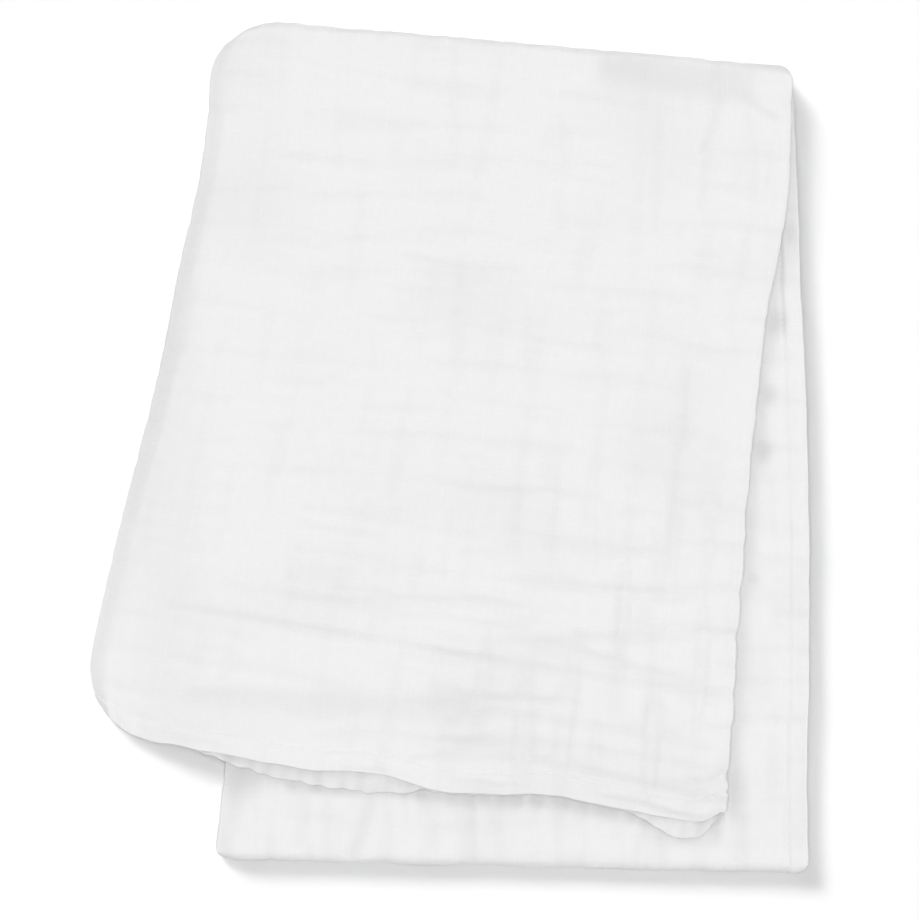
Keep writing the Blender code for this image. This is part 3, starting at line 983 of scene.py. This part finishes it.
def stitch_tree():
    """Geometry Nodes: a small thread stitch at each step along the lines they are given."""
    tree = bpy.data.node_groups.new("hem_stitches", "GeometryNodeTree")
    inputs = (
        ("Seams", "NodeSocketGeometry"),
        ("Spacing", "NodeSocketFloat"),
        ("Length", "NodeSocketFloat"),
        ("Thread", "NodeSocketFloat"),
        ("Material", "NodeSocketMaterial"),
    )
    for name, kind in inputs:
        tree.interface.new_socket(name, in_out="INPUT", socket_type=kind)
    tree.interface.new_socket("Stitches", in_out="OUTPUT", socket_type="NodeSocketGeometry")
    given = add_node(tree, "NodeGroupInput")
    seams, spacing, length, thread, material = (Value(tree, socket) for socket in given.outputs[:5])
    line = add_node(tree, "GeometryNodeMeshToCurve", Mesh=seams)
    points = add_node(
        tree,
        "GeometryNodeCurveToPoints",
        {"mode": "LENGTH"},
        Curve=Value(tree, line.outputs[0]),
        Length=spacing,
    )
    stitch = add_node(tree, "GeometryNodeMeshUVSphere", Segments=6, Rings=4, Radius=0.5)
    size = add_node(tree, "ShaderNodeCombineXYZ", X=thread, Y=thread, Z=length)
    placed = add_node(
        tree,
        "GeometryNodeInstanceOnPoints",
        Points=Value(tree, points.outputs["Points"]),
        Instance=Value(tree, stitch.outputs["Mesh"]),
        Rotation=Value(tree, points.outputs["Rotation"]),
        Scale=Value(tree, size.outputs[0]),
    )
    real = add_node(tree, "GeometryNodeRealizeInstances", Geometry=Value(tree, placed.outputs[0]))
    dressed = add_node(
        tree, "GeometryNodeSetMaterial", Geometry=Value(tree, real.outputs[0]), Material=material
    )
    add_node(tree, "NodeGroupOutput", Stitches=Value(tree, dressed.outputs[0]))
    return tree


def make_stitches(thread):
    """The stitches along both seams, as one plain mesh."""
    carrier = bpy.data.objects.new("seam_lines", seam_lines())
    bpy.context.scene.collection.objects.link(carrier)
    tree = stitch_tree()
    modifier = carrier.modifiers.new("stitches", "NODES")
    modifier.node_group = tree
    sizes = {"Spacing": STITCH_SPACING, "Length": STITCH_LENGTH, "Thread": THREAD, "Material": thread}
    for item in tree.interface.items_tree:
        if item.name in sizes:
            modifier[item.identifier] = sizes[item.name]
    graph = bpy.context.evaluated_depsgraph_get()
    mesh = bpy.data.meshes.new_from_object(carrier.evaluated_get(graph))
    bpy.data.objects.remove(carrier)
    mesh.name = "hem_stitches"
    mesh.shade_smooth()
    stitches = bpy.data.objects.new("hem_stitches", mesh)
    bpy.context.scene.collection.objects.link(stitches)
    return stitches


# ---------------------------------------------------------------- studio
# The side of the square that the camera sees, and its middle.
VIEW_SIDE = 0.4674
VIEW_MIDDLE = (0.0051, -0.0064)
CAMERA_HEIGHT = 3.0
SENSOR = 36.0
# Far softboxes: height over the floor, where each stands from +X and its width as an angle, all in degrees,
# then its strength. The cloth and the floor have their own, besides the one overhead.
OVERHEAD_LIGHT = (88, 135, 26, 1.86)
FLOOR_LIGHT = (34, 124, 26, 2.50)
CLOTH_LIGHTS = {
    "cloth_high_left": (32, 135, 50, 0.67),
    "cloth_high_right": (32, 45, 50, 0.65),
    "cloth_low_left": (40, -135, 50, 0.42),
    "cloth_low_right": (45, -45, 50, 0.64),
}
ROOM_LIGHT = 0.06


def make_camera():
    """A camera straight above, far off."""
    data = bpy.data.cameras.new("camera")
    data.sensor_width = SENSOR
    data.lens = SENSOR * (CAMERA_HEIGHT - FRONT_TOP * 0.8) / VIEW_SIDE
    data.clip_end = 20
    camera = bpy.data.objects.new("camera", data)
    camera.location = (*VIEW_MIDDLE, CAMERA_HEIGHT)
    bpy.context.scene.collection.objects.link(camera)
    bpy.context.scene.camera = camera


def soft_light(name, elevation, azimuth, spread, strength, only=()):
    """A far softbox, which lights only some objects where they are given."""
    data = bpy.data.lights.new(name, "SUN")
    data.angle = math.radians(spread)
    data.energy = strength
    light = bpy.data.objects.new(name, data)
    light.rotation_euler = (math.radians(90 - elevation), 0, math.radians(azimuth + 90))
    bpy.context.scene.collection.objects.link(light)
    if only:
        lit = bpy.data.collections.new(f"lit_by_{name}")
        for item in only:
            lit.objects.link(item)
        light.light_linking.receiver_collection = lit


def make_studio(pieces):
    """A pale floor, the softboxes and a faint white room."""
    bpy.ops.mesh.primitive_plane_add(size=6)
    floor = bpy.context.object
    floor.name = "floor"
    material, tree = new_material("pale_floor")
    surface = add_node(tree, "ShaderNodeBsdfDiffuse", Color=(0.93, 0.93, 0.93, 1))
    add_node(tree, "ShaderNodeOutputMaterial", Surface=Value(tree, surface.outputs[0]))
    floor.data.materials.append(material)
    soft_light("overhead", *OVERHEAD_LIGHT)
    soft_light("floor_key", *FLOOR_LIGHT, only=[floor])
    for name, light in CLOTH_LIGHTS.items():
        soft_light(name, *light, only=pieces)
    world = bpy.data.worlds.new("room")
    world.use_nodes = True
    background = world.node_tree.nodes["Background"]
    background.inputs["Color"].default_value = (1, 1, 1, 1)
    background.inputs["Strength"].default_value = ROOM_LIGHT
    scene = bpy.context.scene
    scene.world = world
    scene.view_settings.view_transform = "Standard"
    scene.view_settings.look = "None"


def link_piece(name, mesh, material):
    """A piece of the blanket from its mesh, with its material."""
    piece = bpy.data.objects.new(name, mesh)
    bpy.context.scene.collection.objects.link(piece)
    mesh.materials.append(material)
    return piece


make_camera()
cloth = link_piece("blanket_cloth", make_sheet(), gauze_material())
stitches = make_stitches(thread_material())
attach(cloth, "root")
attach(stitches, "root")
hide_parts("blanket")
make_studio([cloth, stitches])
